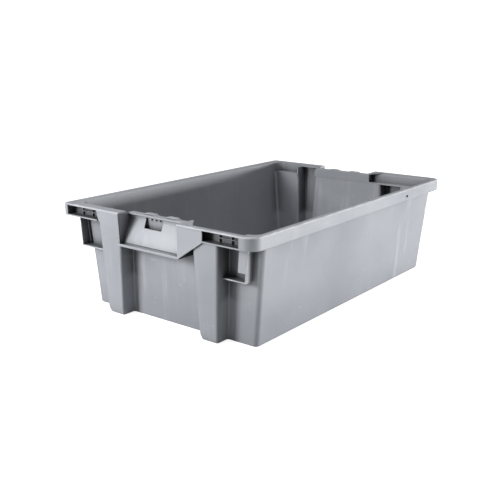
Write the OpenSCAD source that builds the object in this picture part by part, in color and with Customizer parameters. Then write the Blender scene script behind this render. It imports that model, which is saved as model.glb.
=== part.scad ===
// Stack-and-nest storage crate, moulded in one piece of grey plastic.
// The moulding is drawn as its natural features, each one a closed solid that meets
// its neighbours face to face. +X is the length, +Z is up, z = 0 is the underside.
// "front" is the -X end, "right" is the -Y side. The body sits off the rim's
// centre line, so a crate nests one way round and stacks when it is turned.

/* [Crate] */
// Length over the rim
crate_l = 600; // [480:1:720]
// Width over the rim
crate_w = 400; // [330:1:480]
// Height from the underside to the rim top
crate_h = 175; // [145:1:215]
// Wall thickness of the body
wall = 2.8; // [2:0.1:3.5]
// Thickness of the floor
floor_t = 3; // [2:0.1:5]
// Sideways shift of the body under the rim, towards -Y
body_shift = 8; // [7:0.5:10]

/* [Body] */
// Distance from the rim's end down to the end wall, at the underside
end_set_back = 36.5; // [32:0.5:44]
// How much further out the end wall stands at rim height
end_draft = 5.5; // [2:0.5:8]
// Distance from the rim's side to the body's side, before the shift, at the underside
side_set_back = 30; // [30:0.5:36]
// How much further out the side wall stands at rim height
side_draft = 17; // [12:0.5:17]
// Outer radius of the body's upright corners
body_r = 8; // [4:0.5:9]

/* [Pillars] */
// Distance of each pillar's centre from the body's centre line
pillar_y = 100; // [95:1:105]
// Pillar width at the underside
pillar_w_low = 34; // [28:1:38]
// Pillar width at rim height
pillar_w_high = 50; // [44:1:50]
// Distance from the rim's end to the pillar's front at the underside
pillar_set_back = 9.5; // [7:0.5:12]
// Distance from the rim's end to the pillar's front at rim height
pillar_gap_high = 3; // [2.5:0.5:4]
// Height of the bevel round the foot of each pillar
foot_h = 10; // [6:1:14]
// How far the bevel draws the foot in
foot_bevel = 3; // [1:0.5:4]

/* [Rim] */
// Height of the rim's skirt
skirt_h = 20; // [16:1:24]
// Thickness of the skirt
skirt_t = 2.5; // [2:0.1:2.8]
// Thickness of the flat top flange at the ends
flange_t = 5; // [4:0.5:6]
// Thickness of the flange on the long sides
side_flange_t = 2.6; // [2:0.1:3.5]
// Distance of the two small notches in the right-hand rim's top from its middle
notch_x = 25; // [15:1:60]
// Width of a notch
notch_w = 6; // [4:0.5:10]
// Depth of a notch
notch_d = 1.6; // [1:0.1:2.2]
// Distance of the small slot in the right-hand skirt from its middle
slot_x = 156; // [120:1:200]
// Length of a slot
slot_l = 7; // [5:0.5:12]
// Height of a slot
slot_h = 4; // [3:0.5:6]
// Depth of a slot's middle below the rim top
slot_drop = 12.5; // [9:0.5:13]
// Outer radius of the rim's corners on the right
rim_r_right = 20; // [14:1:22]
// Outer radius of the rim's corners on the left
rim_r_left = 9; // [5:1:9]
// Inner radius of the rim's corners
opening_r = 15; // [8:1:15]
// Length of a corner piece along the side rim
corner_l = 38; // [36:1:48]
// Width of the flat top flange at the ends
end_flange_w = 17.5; // [15:0.5:18]

/* [Rim pockets] */
// Inner edge of the pocket on the right, inwards from the pillar's middle
pocket_in_gap = 1; // [-4:1:4]
// Distance from the rim's side to the outer end of the pocket on the right
pocket_gap_right = 23; // [22:1:28]
// Distance from the rim's side to the outer end of the pocket on the left
pocket_gap_left = 9; // [7:1:16]
// Thickness of the pocket's floor and back
pocket_t = 2.2; // [1.8:0.1:3]
// Thickness of the pocket's upright frame at its outer end
frame_t = 3.2; // [2:0.2:4]
// Number of upright ribs inside a pocket
pocket_ribs = 2; // [0:1:4]
// Thickness of a rib
rib_t = 1.6; // [1:0.1:2.4]

/* [Corner boxes] */
// Depth of the corner box below the rim
box_h = 54; // [44:1:64]
// Distance from the rim's end to the front of the box
box_set_back = 18; // [16:0.5:22]
// Distance from the rim's side to the outer face of the box on the right, at the rim
box_gap_right = 24; // [22:0.5:28]
// Distance from the rim's side to the outer face of the box on the left, at the rim
box_gap_left = 19; // [14:0.5:22]
// How much the box's outer face leans in towards its bottom
box_lean = 4; // [2:0.5:6]
// Wall thickness of the box
box_t = 2.6; // [2:0.1:3.5]
// Part of the right-hand box's mouth that its front strip covers
strip_share = 0.32; // [0.15:0.01:0.5]
// Thickness of the front strip
strip_t = 2; // [1.5:0.1:3]
// Gap between the strip and the box's bottom plate
strip_gap = 15; // [10:1:20]

/* [Handle] */
// Right side of the hand recess, from the centre line
recess_right = 57.5; // [54:0.5:60]
// Depth of the hand hood below the rim top
hood_h = 52; // [44:1:58]
// Distance from the rim's end to the recessed rim's outer face
recess_d = 22; // [20:0.5:24]
// Thickness of the hood's panels
hood_t = 2.5; // [2:0.1:3.5]
// Height of the upright face between the recessed rim and the sloped panel
panel_drop = 12; // [9:0.5:15]
// Distance from the rim's end to the sloped panel's top edge
panel_top_x = 28; // [24:0.5:28.5]
// Distance from the rim's end to the sloped panel's bottom edge
panel_low_x = 12.5; // [5:0.5:14]
// Depth of the gutter along the front lip
gutter_d = 2.5; // [1.5:0.5:4]
// Thickness of the front lip
lip_t = 1.6; // [1.2:0.1:2.4]
// Width of the window in the sloped panel
window_w = 37; // [28:1:44]
// Centre of the window from the centre line
window_y = 14.5; // [8:0.5:20]
// Height of the window
window_h = 16; // [12:1:18]
// How far the window reaches up into the upright strip
window_rise = 4; // [2:0.5:4]
// Number of small teeth along the window's top
window_teeth = 3; // [0:1:5]
// Height of a tooth
tooth_h = 3; // [2:0.5:4]
// Width of a tooth
tooth_w = 3.5; // [2:0.5:5]
// How far the recessed rim lies below the rim top
recess_drop = 2.5; // [1:0.5:4]
// Width of the raised lugs on the recessed rim
lug_w = 28; // [18:1:32]
// Width of the flat top of the wall that closes the recess on the right
return_w = 6; // [4:0.5:8]
// Width of the bevel along the inner edge of the right-hand end rim
bevel_w = 8; // [4:0.5:10]
// Depth of that bevel
bevel_d = 3.5; // [2:0.5:4]
// How far a lug reaches out over the recessed rim
lug_reach = 5; // [3:0.5:6]
// Distance between the middles of the two lugs
lug_pitch = 46; // [36:1:56]

/* [Hidden] */
$fn = 48;
eps = 0.01;
grey = [0.60, 0.62, 0.65];
light_grey = [0.66, 0.68, 0.71];
half_l = crate_l / 2;
half_w = crate_w / 2;
rim_z = crate_h - skirt_h;            // level where the body ends and the rim starts
flange_z = crate_h - flange_t;        // underside of the end flange
arc_steps = 6;
opening_x = half_l - end_flange_w;      // inner edge of the end flange
rib_back = 10;                         // ribs stop short of the pocket's mouth
crease_t = 0.6;                        // thickness of the left cheek at its lower edge
root = 1;                              // how far a shelf or a strip runs into its plate
lap = 6;                               // how far the left-hand box laps along the body's side

function mix(a, b, t) = a + (b - a) * t;
// Outer faces of the body at height z: end wall, side walls, pillar front, half pillar width
function end_x(z) = half_l - end_set_back + end_draft * z / crate_h;
function side_y(z, s) = s * (half_w - side_set_back + side_draft * z / crate_h) - body_shift;
function pillar_x(z) = half_l - mix(pillar_set_back, pillar_gap_high, z / crate_h);
function pillar_half(z) = mix(pillar_w_low, pillar_w_high, z / crate_h) / 2;
function pillar_mid(s) = s * pillar_y - body_shift;
function bevel(z) = z < foot_h ? foot_bevel * (foot_h - z) / foot_h : 0;

// A solid through a list of rings of 3-D points, all with the same number of points
module lofted(rings) {
    n = len(rings[0]);
    last = (len(rings) - 1) * n;
    polyhedron(
        points = [for (ring = rings) each ring],
        faces = concat(
            [[for (i = [0:n - 1]) i], [for (i = [0:n - 1]) last + n - 1 - i]],
            [for (k = [0:len(rings) - 2], i = [0:n - 1]) let (j = (i + 1) % n, b = k * n)
                [b + i, b + n + i, b + n + j, b + j]]
        )
    );
}

// A plan outline lifted to height z
function lift(outline, z) = [for (p = outline) [p.x, p.y, z]];

// A straight loft between two plan outlines
module drafted(low, high, z0, z1) {
    lofted([lift(low, z0), lift(high, z1)]);
}

// A block given by its low and high corners
module block(a, b) {
    translate(a) cube(b - a);
}

// An outline in the X-Z plane, pushed along Y from y0 to y1
module slab_y(outline, y0, y1) {
    translate([0, y1, 0]) rotate([90, 0, 0]) linear_extrude(y1 - y0) polygon(outline);
}

// An outline in the Y-Z plane, pushed along X from x0 to x1
module slab_x(outline, x0, x1) {
    translate([x0, 0, 0]) rotate([90, 0, 90]) linear_extrude(x1 - x0) polygon(outline);
}

// The ends are mirror images, so every end piece is drawn at +X and turned to its end
module at_end(front) {
    mirror([front ? 1 : 0, 0, 0]) children();
}

// Side pieces are drawn at +Y and turned to their side
module at_side(s) {
    mirror([0, s > 0 ? 0 : 1, 0]) children();
}

// ---- body ----

module floor_panel() {
    inset = wall;
    low = floor_outline(0, inset);
    high = floor_outline(floor_t, inset);
    color(grey) drafted(low, high, 0, floor_t);
}

// Inner outline of the body at height z, without the pillars' niches
function floor_outline(z, inset) = let (
    r = body_r - inset,
    x = end_x(z) - inset - r
) [
    for (q = [0:3], i = [0:arc_steps]) let (
        a = q * 90 + i * 90 / arc_steps,
        sx = (q == 0 || q == 3) ? 1 : -1,
        sy = (q < 2) ? 1 : -1,
        y = side_y(z, sy) - sy * (inset + r)
    ) [sx * x + r * cos(a), y + r * sin(a)]
];

module long_wall(s) {
    function outline(z) = let (
        x = end_x(z) - body_r,
        outer = side_y(z, s),
        inner = side_y(z, s) - s * wall
    ) s > 0 ? [[-x, inner], [x, inner], [x, outer], [-x, outer]]
            : [[-x, outer], [x, outer], [x, inner], [-x, inner]];
    color(grey) drafted(outline(0), outline(rim_z), 0, rim_z);
}

module end_wall() {
    function outline(z) = let (
        x1 = end_x(z),
        x0 = x1 - wall,
        y1 = pillar_mid(1) - pillar_half(z),
        y0 = pillar_mid(-1) + pillar_half(z)
    ) [[x0, y0], [x1, y0], [x1, y1], [x0, y1]];
    color(grey) drafted(outline(0), outline(rim_z), 0, rim_z);
}

// Flat rest of the end wall, between a pillar and the body's corner
module corner_panel(s) {
    function outline(z) = let (
        x1 = end_x(z),
        x0 = x1 - wall,
        a = pillar_mid(s) + s * pillar_half(z),
        b = side_y(z, s) - s * body_r,
        y0 = min(a, b),
        y1 = max(a, b)
    ) [[x0, y0], [x1, y0], [x1, y1], [x0, y1]];
    color(grey) drafted(outline(0), outline(rim_z), 0, rim_z);
}

// Rounded upright corner of the body
module corner_post(s) {
    function at(r, a, z) = [
        end_x(z) - body_r + r * cos(a),
        s * side_y(z, s) - body_r + r * sin(a),
        z
    ];
    r0 = body_r - wall;
    color(grey) at_side(s) lofted([for (i = [0:arc_steps]) let (a = i * 90 / arc_steps)
        [at(body_r, a, 0), at(r0, a, 0), at(r0, a, rim_z), at(body_r, a, rim_z)]]);
}

// Hollow pillar, open to the inside of the crate, so that another crate's pillar nests in it
module pillar(s) {
    top = s > 0 ? flange_z : rim_z;
    function outline(z, out) = let (
        m = pillar_mid(s),
        h = pillar_half(z),
        b = bevel(z),
        x0 = end_x(z) - wall,
        x1 = pillar_x(z) - b,
        y = h - (b > 0 ? b / 2 : 0)
    ) [
        [x0, m - h], [end_x(z), m - h], [x1, m - y], [x1, m + y], [end_x(z), m + h], [x0, m + h],
        [x0, m + h - wall], [x1 - wall, m + y - wall], [x1 - wall, m - y + wall],
        [x0, m - h + wall]
    ];
    color(grey) lofted([for (z = [0, foot_h, top]) lift(outline(z), z)]);
}

// Plate that closes the bottom of a pillar
module foot(s) {
    m = pillar_mid(s);
    function outline(z) = let (
        h = pillar_half(z),
        b = bevel(z),
        y = h - b / 2,
        x0 = end_x(z) - wall,
        x1 = pillar_x(z) - b
    ) [[x0, m - h + wall], [x1 - wall, m - y + wall], [x1 - wall, m + y - wall], [x0, m + h - wall]];
    color(grey) drafted(outline(0), outline(floor_t), 0, floor_t);
}

// ---- rim ----

// Side rim: the top of the wall, a flat flange and the skirt that hangs from it
module long_rim(s) {
    x = half_l - corner_l;
    out0 = s * side_y(rim_z, s);
    out1 = s * side_y(crate_h - side_flange_t, s);
    top = s * side_y(crate_h, s);
    under = crate_h - side_flange_t;
    outline = [
        [out0 - wall, rim_z], [out0, rim_z], [out1, under],
        [half_w - skirt_t, under], [half_w - skirt_t, rim_z], [half_w, rim_z],
        [half_w, crate_h], [top - wall, crate_h]
    ];
    color(grey) difference() {
        slab_x([for (p = outline) [s * p.x, p.y]], -x, x);
        for (k = [-1, 1]) {
            if (s < 0)
                translate([k * notch_x, s * top, crate_h])
                    cube([notch_w, 2 * (wall + eps), 2 * notch_d], center = true);
        }
        if (s < 0)
            translate([slot_x, s * half_w, crate_h - slot_drop])
                cube([slot_l, 2 * (skirt_t + eps), slot_h], center = true);
    }
}

function rim_r(s) = s > 0 ? rim_r_left : rim_r_right;
// Side of the hand recess at height z: the pillar's inner side on the left
function recess_side(s, z) = s > 0 ? pillar_mid(1) - pillar_half(z) : recess_right;
function pocket_out(s) = half_w - (s > 0 ? pocket_gap_left : pocket_gap_right);
// The pocket starts at the pillar's outer side on the left, and in front of the pillar on the right
function pocket_in(s) = s > 0 ? pillar_mid(1) + pillar_half(flange_z)
                              : -pillar_mid(-1) - pocket_in_gap;
// Inner edge of the side rim, as a distance from the centre line
function opening_y(s) = s * side_y(crate_h, s) - wall;

// Quarter plan of the rim's outline, drawn in by o
function outer_quarter(s, o) = let (r = rim_r(s)) concat(
    [[0, 0], [half_l - o, 0]],
    [for (i = [0:2 * arc_steps]) let (a = i * 45 / arc_steps)
        [half_l - r + (r - o) * cos(a), half_w - r + (r - o) * sin(a)]],
    [[0, half_w - o]]
);

// Quarter plan of the rim's opening, grown by o
function opening_quarter(s, o) = concat(
    [[0, 0], [opening_x + o, 0]],
    [for (i = [0:arc_steps]) let (a = i * 90 / arc_steps)
        [opening_x - opening_r + (opening_r + o) * cos(a),
         opening_y(s) - opening_r + (opening_r + o) * sin(a)]],
    [[0, opening_y(s) + o]]
);

// Rounded corner of the rim, with a flat top, a skirt and the upright wall inside it
module rim_corner(s) {
    module territory() {
        translate([half_l - corner_l, pocket_out(s)]) square([corner_l, half_w]);
        translate([half_l - corner_l, opening_y(s) - opening_r])
            square([opening_x - half_l + corner_l, half_w]);
    }
    module storey(z0, z1) {
        translate([0, 0, z0]) linear_extrude(z1 - z0) intersection() {
            territory();
            children();
        }
    }
    color(light_grey) at_side(s) {
        storey(crate_h - side_flange_t, crate_h) difference() {
            polygon(outer_quarter(s, 0));
            polygon(opening_quarter(s, 0));
        }
        storey(rim_z, crate_h) difference() {
            polygon(outer_quarter(s, 0));
            polygon(outer_quarter(s, skirt_t));
        }
        storey(rim_z, crate_h) difference() {
            intersection() {
                polygon(opening_quarter(s, wall));
                polygon(outer_quarter(s, 0));
            }
            polygon(opening_quarter(s, 0));
        }
        // ledge between the body's corner and the wider rim above it
        storey(rim_z, rim_z + pocket_t) difference() {
            polygon(opening_quarter(s, eps));
            body_inside(s);
        }
    }
}

// The body's inner plan at rim height, in the side's own quarter
module body_inside(s) {
    polygon([for (p = floor_outline(rim_z, wall)) [p.x, s * p.y]]);
}

// Shallow box in the rim, open towards the end, beside the hand recess
// cutter for the bevel along the right-hand end rim's inner edge
module rim_bevel(from_y, to_y)
    slab_y([
        [opening_x - 1, crate_h - bevel_d], [opening_x, crate_h - bevel_d],
        [opening_x + bevel_w, crate_h], [opening_x + bevel_w, crate_h + 1],
        [opening_x - 1, crate_h + 1]
    ], from_y, to_y);

module rim_pocket(s) {
    y0 = pocket_in(s);
    y1 = pocket_out(s);
    mid = (rim_z + pocket_t + flange_z) / 2;
    pitch = (y1 - frame_t - y0) / (pocket_ribs + 1);
    shelf_y0 = s > 0 ? y0 : y0 + pitch;
    shelf_y1 = s > 0 ? y1 - frame_t - pitch : y1 - frame_t;
    color(light_grey) at_side(s) difference() {
        union() {
            block([opening_x, y0, flange_z], [half_l, y1, crate_h]);
            block([opening_x, y0, rim_z], [opening_x + pocket_t, y1, crate_h]);
            block([end_x(rim_z) - wall, y0, rim_z], [half_l, y1, rim_z + pocket_t]);
            block([opening_x, y1 - frame_t, rim_z], [half_l, y1, crate_h]);
            for (i = [1:pocket_ribs])
                block([opening_x, y0 + i * pitch - rib_t / 2, rim_z],
                      [half_l - rib_back, y0 + i * pitch + rib_t / 2, crate_h]);
            block([opening_x, shelf_y0, mid - rib_t / 2],
                  [half_l - rib_back, shelf_y1, mid + rib_t / 2]);
        }
        // the ledge stops where the corner piece begins
        block([0, opening_y(s) - opening_r, rim_z - 1],
              [opening_x, half_w, rim_z + pocket_t + 1]);
        if (s < 0) rim_bevel(y0 - 1, y1 + 1);
    }
}

// Flat rim over the left pillar, or behind the right-hand cheek
module rim_bridge(s) {
    y1 = pocket_in(s);
    y0 = recess_side(s, flange_z);
    back_y = recess_right + hood_t;
    pillar_in = s * pillar_mid(s) - pillar_half(rim_z);
    color(light_grey) at_side(s) {
        difference() {
            block([opening_x, y0, flange_z], [half_l, y1, crate_h]);
            if (s < 0) rim_bevel(recess_right + return_w, y1 + 1);
        }
        if (s < 0) {
            block([opening_x, back_y, rim_z], [opening_x + pocket_t, y1, flange_z]);
            block([end_x(rim_z) - wall, back_y, rim_z],
                  [opening_x + pocket_t, y1, rim_z + pocket_t]);
            block([opening_x, pillar_in, rim_z], [pillar_x(rim_z), y1, rim_z + pocket_t]);
        }
    }
}

// ---- corner boxes ----

function box_out(s) = half_w - (s > 0 ? box_gap_left : box_gap_right);

// Box under a rim pocket, open towards the end, that stiffens the corner
module corner_box(s) {
    z0 = rim_z - box_h;
    x1 = half_l - box_set_back;
    function out(z) = box_out(s) - box_lean * (rim_z - z) / box_h;
    // on the left the box reaches past the body's side and laps on to it
    function inner(z) = s > 0 ? side_y(z, 1) : out(z) - box_t;
    function back(z) = end_x(z) - (s > 0 ? body_r + lap : 0);
    function plate(z) = [[back(z), inner(z)], [x1, inner(z)], [x1, out(z)], [back(z), out(z)]];
    function mouth(z) = s * pillar_mid(s) + pillar_half(z);
    function shelf(z) = [[end_x(z), mouth(z)], [x1, mouth(z)],
                         [x1, inner(z) + root], [end_x(z), inner(z) + root]];
    function strip(z) = let (y = mix(inner(z), mouth(z), strip_share))
        [[x1 - strip_t, y], [x1, y], [x1, inner(z) + root], [x1 - strip_t, inner(z) + root]];
    z1 = z0 + strip_gap;
    color(light_grey) at_side(s) {
        drafted(plate(z0), plate(rim_z), z0, rim_z);
        drafted(shelf(z0), shelf(z0 + box_t), z0, z0 + box_t);
        if (s < 0)
            drafted(strip(z1), strip(rim_z), z1, rim_z);
    }
}

// ---- hand recess ----

// The space between the left pillar's side and the right-hand cheek
module recess_space() {
    function outline(z) = [[0, -recess_right], [half_l, -recess_right],
                           [half_l, recess_side(1, z)], [0, recess_side(1, z)]];
    drafted(outline(0), outline(crate_h), 0, crate_h);
}

// An outline in the X-Z plane, pushed across the whole hand recess
module across_recess(outline) {
    intersection() {
        slab_y(outline, -half_w, half_w);
        recess_space();
    }
}

// Rim over the hand recess, set back from the end, with two low lugs on top
module recess_rim() {
    x1 = half_l - recess_d;
    x0 = end_x(rim_z) - wall;
    top = crate_h - recess_drop;
    lug = [[-lug_w / 2, 0], [lug_w / 2, 0],
           [lug_w / 2 - 2 * recess_drop, recess_drop],
           [-lug_w / 2 + 2 * recess_drop, recess_drop]];
    color(light_grey) {
        across_recess([
            [x0, rim_z], [x0 + wall, rim_z], [x0 + wall, top - side_flange_t],
            [x1, top - side_flange_t], [x1, top], [x0, top]
        ]);
        for (k = [-1, 1])
            slab_x([for (p = lug) [p.x + k * lug_pitch / 2, p.y + top - eps]],
                   x0, x0 + wall + lug_reach);
    }
}

// Front panel of the hand hood: an upright strip, then a slope down to the front lip
module hood_panel() {
    top = crate_h - recess_drop - side_flange_t;
    xt = half_l - panel_top_x;
    xl = half_l - panel_low_x;
    zb = crate_h - panel_drop;
    zl = crate_h - hood_h + gutter_d;
    slope = atan2(xl - xt, zb - zl);
    w0 = window_y - window_w / 2;
    w1 = zb + window_rise;
    pitch = window_w / (window_teeth + 1);
    color(light_grey) {
        difference() {
            across_recess([[xt - hood_t, top], [xt - hood_t, zb],
                           [xl - hood_t / cos(slope), zl], [xl, zl], [xt, zb], [xt, top]]);
            block([xt - 2 * hood_t, w0, w1 - window_h], [xl, w0 + window_w, w1]);
        }
        for (i = [1:window_teeth])
            block([xt - hood_t, w0 + i * pitch - tooth_w / 2, w1 - tooth_h],
                  [xt, w0 + i * pitch + tooth_w / 2, w1 + eps]);
    }
}

// Gutter and thin lip along the front of the hood, where the fingers pull
module hood_lip() {
    z0 = crate_h - hood_h;
    xl = half_l - panel_low_x;
    color(light_grey) across_recess([
        [xl - hood_t, z0 - lip_t], [half_l, z0 - lip_t], [half_l, z0 + gutter_d],
        [half_l - lip_t, z0 + gutter_d], [half_l - lip_t, z0], [xl, z0],
        [xl, z0 + gutter_d], [xl - hood_t, z0 + gutter_d]
    ]);
}

// Side plate of the hood, lying on the pillar's front face, with a slanted lower edge
module hood_cheek(s) {
    y1 = pocket_in(s);
    z0 = crate_h - hood_h - lip_t;
    corners = [[recess_side(s, z0), z0], [y1, rim_z],
               [y1, flange_z], [recess_side(s, flange_z), flange_z]];
    // on the left the plate runs out to a crease along its lower edge
    function face_x(i, z) = s > 0 && i < 2 ? pillar_x(z) + crease_t : half_l;
    color(light_grey) at_side(s) {
        lofted([
            [for (p = corners) [pillar_x(p.y), p.x, p.y]],
            [for (i = [0:3]) [face_x(i, corners[i].y), corners[i].x, corners[i].y]]
        ]);
        // the cheek's return, which closes the recess on the right, with a flat top
        if (s < 0) {
            slab_y([
                [end_x(z0), z0], [pillar_x(z0) + eps, z0],
                [pillar_x(flange_z) + eps, flange_z], [opening_x, flange_z],
                [opening_x, crate_h], [end_x(rim_z) - wall, crate_h],
                [end_x(rim_z) - wall, rim_z], [end_x(rim_z), rim_z]
            ], recess_right, recess_right + hood_t);
            block([end_x(rim_z) - wall, recess_right, crate_h - side_flange_t],
                  [opening_x, recess_right + return_w, crate_h]);
        }
    }
}

floor_panel();
long_wall(1);  // long_wall_left
long_wall(-1);  // long_wall_right
at_end(true) end_wall();  // end_wall_front
at_end(false) end_wall();  // end_wall_back
at_end(true) corner_panel(1);  // corner_panel_left_front
at_end(true) corner_post(1);  // corner_post_left_front
at_end(true) corner_panel(-1);  // corner_panel_right_front
at_end(true) corner_post(-1);  // corner_post_right_front
at_end(true) pillar(1);  // pillar_left_front
at_end(true) pillar(-1);  // pillar_right_front
at_end(true) foot(1);  // foot_left_front
at_end(true) foot(-1);  // foot_right_front
at_end(true) rim_corner(1);  // rim_corner_left_front
at_end(true) rim_corner(-1);  // rim_corner_right_front
at_end(true) rim_pocket(1);  // rim_pocket_left_front
at_end(true) rim_pocket(-1);  // rim_pocket_right_front
at_end(true) rim_bridge(1);  // rim_bridge_left_front
at_end(true) rim_bridge(-1);  // rim_bridge_right_front
at_end(true) corner_box(1);  // corner_box_left_front
at_end(true) corner_box(-1);  // corner_box_right_front
at_end(true) hood_cheek(1);  // hood_cheek_left_front
at_end(true) hood_cheek(-1);  // hood_cheek_right_front
at_end(true) recess_rim();  // recess_rim_front
at_end(true) hood_panel();  // hood_panel_front
at_end(true) hood_lip();  // hood_lip_front
at_end(false) corner_panel(1);  // corner_panel_left_back
at_end(false) corner_post(1);  // corner_post_left_back
at_end(false) corner_panel(-1);  // corner_panel_right_back
at_end(false) corner_post(-1);  // corner_post_right_back
at_end(false) pillar(1);  // pillar_left_back
at_end(false) pillar(-1);  // pillar_right_back
at_end(false) foot(1);  // foot_left_back
at_end(false) foot(-1);  // foot_right_back
at_end(false) rim_corner(1);  // rim_corner_left_back
at_end(false) rim_corner(-1);  // rim_corner_right_back
at_end(false) rim_pocket(1);  // rim_pocket_left_back
at_end(false) rim_pocket(-1);  // rim_pocket_right_back
at_end(false) rim_bridge(1);  // rim_bridge_left_back
at_end(false) rim_bridge(-1);  // rim_bridge_right_back
at_end(false) corner_box(1);  // corner_box_left_back
at_end(false) corner_box(-1);  // corner_box_right_back
at_end(false) hood_cheek(1);  // hood_cheek_left_back
at_end(false) hood_cheek(-1);  // hood_cheek_right_back
at_end(false) recess_rim();  // recess_rim_back
at_end(false) hood_panel();  // hood_panel_back
at_end(false) hood_lip();  // hood_lip_back
long_rim(1);  // long_rim_left
long_rim(-1);  // long_rim_right
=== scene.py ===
import math

import bmesh
import bpy
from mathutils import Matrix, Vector


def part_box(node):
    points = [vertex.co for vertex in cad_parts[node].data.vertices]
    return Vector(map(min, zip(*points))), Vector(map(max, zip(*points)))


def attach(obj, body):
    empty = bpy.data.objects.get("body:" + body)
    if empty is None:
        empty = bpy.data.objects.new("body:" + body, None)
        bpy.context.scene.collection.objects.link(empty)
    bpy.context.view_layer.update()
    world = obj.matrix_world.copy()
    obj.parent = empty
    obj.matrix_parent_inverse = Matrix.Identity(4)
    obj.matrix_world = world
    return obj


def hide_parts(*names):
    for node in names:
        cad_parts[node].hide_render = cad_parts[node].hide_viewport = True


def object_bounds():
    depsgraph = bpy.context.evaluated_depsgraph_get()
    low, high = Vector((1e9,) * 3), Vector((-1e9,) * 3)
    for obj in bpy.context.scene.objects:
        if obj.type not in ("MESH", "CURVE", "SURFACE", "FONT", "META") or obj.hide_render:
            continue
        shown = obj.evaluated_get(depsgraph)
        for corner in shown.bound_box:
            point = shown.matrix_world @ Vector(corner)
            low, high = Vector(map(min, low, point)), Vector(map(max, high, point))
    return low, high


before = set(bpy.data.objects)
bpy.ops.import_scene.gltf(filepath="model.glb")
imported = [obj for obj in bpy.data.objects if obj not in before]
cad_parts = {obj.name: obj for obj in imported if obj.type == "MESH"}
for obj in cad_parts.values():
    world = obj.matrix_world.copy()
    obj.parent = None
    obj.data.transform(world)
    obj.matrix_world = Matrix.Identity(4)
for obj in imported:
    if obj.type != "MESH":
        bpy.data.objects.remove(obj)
cadLow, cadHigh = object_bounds()
mm = 0.001
print("frame loaded", [round(v, 3) for v in cadHigh - cadLow])

# The crate's main sizes in millimetres. Its outer size and its rim level come from the frame.
# "left" is +Y (side 1) and "right" is -Y (side -1); ends are drawn at +X and mirrored to -X.
crate = {
    "length": (cadHigh.x - cadLow.x) / mm,
    "width": (cadHigh.y - cadLow.y) / mm,
    "height": (cadHigh.z - cadLow.z) / mm,
    "rimLevel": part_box("long_rim_right")[0].z / mm,
    "wall": 2.8,
    "floor": 3.0,
    "bodyShift": 8.0,
}
halfLength = crate["length"] / 2
halfWidth = crate["width"] / 2
height = crate["height"]
rimLevel = crate["rimLevel"]
wall = crate["wall"]
sink = 0.5       # how far one part runs into the next
hair = 0.02      # keeps two faces from lying in one plane


def mix(a, b, t):
    return a + (b - a) * t


def roundedLoop(corners, steps=5):
    # a closed outline with an arc at each corner; a corner is x, y and its radius
    loop = []
    for i, (x, y, r) in enumerate(corners):
        here = Vector((x, y))
        if r <= 0:
            loop.append(here)
            continue
        back = Vector(corners[i - 1][:2]) - here
        ahead = Vector(corners[(i + 1) % len(corners)][:2]) - here
        back.normalize()
        ahead.normalize()
        half = back.angle(ahead) / 2
        start = here + back * r / math.tan(half)
        centre = here + (back + ahead).normalized() * r / math.sin(half)
        turn = (here + ahead * r / math.tan(half) - centre).angle_signed(start - centre)
        for k in range(steps + 1):
            a = turn * k / steps
            d = start - centre
            loop.append(centre + Vector((d.x * math.cos(a) - d.y * math.sin(a),
                                         d.x * math.sin(a) + d.y * math.cos(a))))
    return loop


def lift(loop, z):
    return [Vector((p[0], p[1], z)) for p in loop]


def loft(rings, capStart=True, capEnd=True):
    # rings of the same number of points, joined by quads
    n = len(rings[0])
    points = [p for ring in rings for p in ring]
    faces = [
        (k * n + i, k * n + (i + 1) % n, (k + 1) * n + (i + 1) % n, (k + 1) * n + i)
        for k in range(len(rings) - 1) for i in range(n)
    ]
    if capStart:
        faces.append(tuple(range(n - 1, -1, -1)))
    if capEnd:
        faces.append(tuple(range((len(rings) - 1) * n, len(rings) * n)))
    return points, faces


def upright(loop, z0, z1):
    return loft([lift(loop, z0), lift(loop, z1)])


def alongY(outline, y0, y1):
    # an X-Z outline pushed along Y; y0 and y1 may be functions of the height
    def ring(y):
        return [Vector((p[0], y(p[1]) if callable(y) else y, p[1])) for p in outline]
    return loft([ring(y0), ring(y1)])


def alongX(outline, x0, x1):
    # a Y-Z outline pushed along X
    return loft([[Vector((x, p[0], p[1])) for p in outline] for x in (x0, x1)])


def block(low, high):
    loop = [(low[0], low[1]), (high[0], low[1]), (high[0], high[1]), (low[0], high[1])]
    return upright(loop, low[2], high[2])


def turned(part, side=1, end=1):
    # mirrors a part to its side and its end
    points, faces = part
    return [Vector((p.x * end, p.y * side, p.z)) for p in points], faces


def makePiece(name, parts, tidy=0.002):
    mesh = bpy.data.meshes.new(name)
    points, faces = [], []
    for partPoints, partFaces in parts:
        faces += [tuple(i + len(points) for i in face) for face in partFaces]
        points += [p * mm for p in partPoints]
    mesh.from_pydata(points, [], faces)
    bm = bmesh.new()
    bm.from_mesh(mesh)
    bmesh.ops.remove_doubles(bm, verts=bm.verts, dist=tidy * mm)
    bmesh.ops.recalc_face_normals(bm, faces=bm.faces)
    bm.to_mesh(mesh)
    bm.free()
    piece = bpy.data.objects.new(name, mesh)
    bpy.context.scene.collection.objects.link(piece)
    return piece


def settle(piece):
    # applies the piece's modifiers
    bpy.context.view_layer.update()
    made = piece.evaluated_get(bpy.context.evaluated_depsgraph_get())
    mesh = bpy.data.meshes.new_from_object(made)
    piece.modifiers.clear()
    piece.data = mesh


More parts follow.
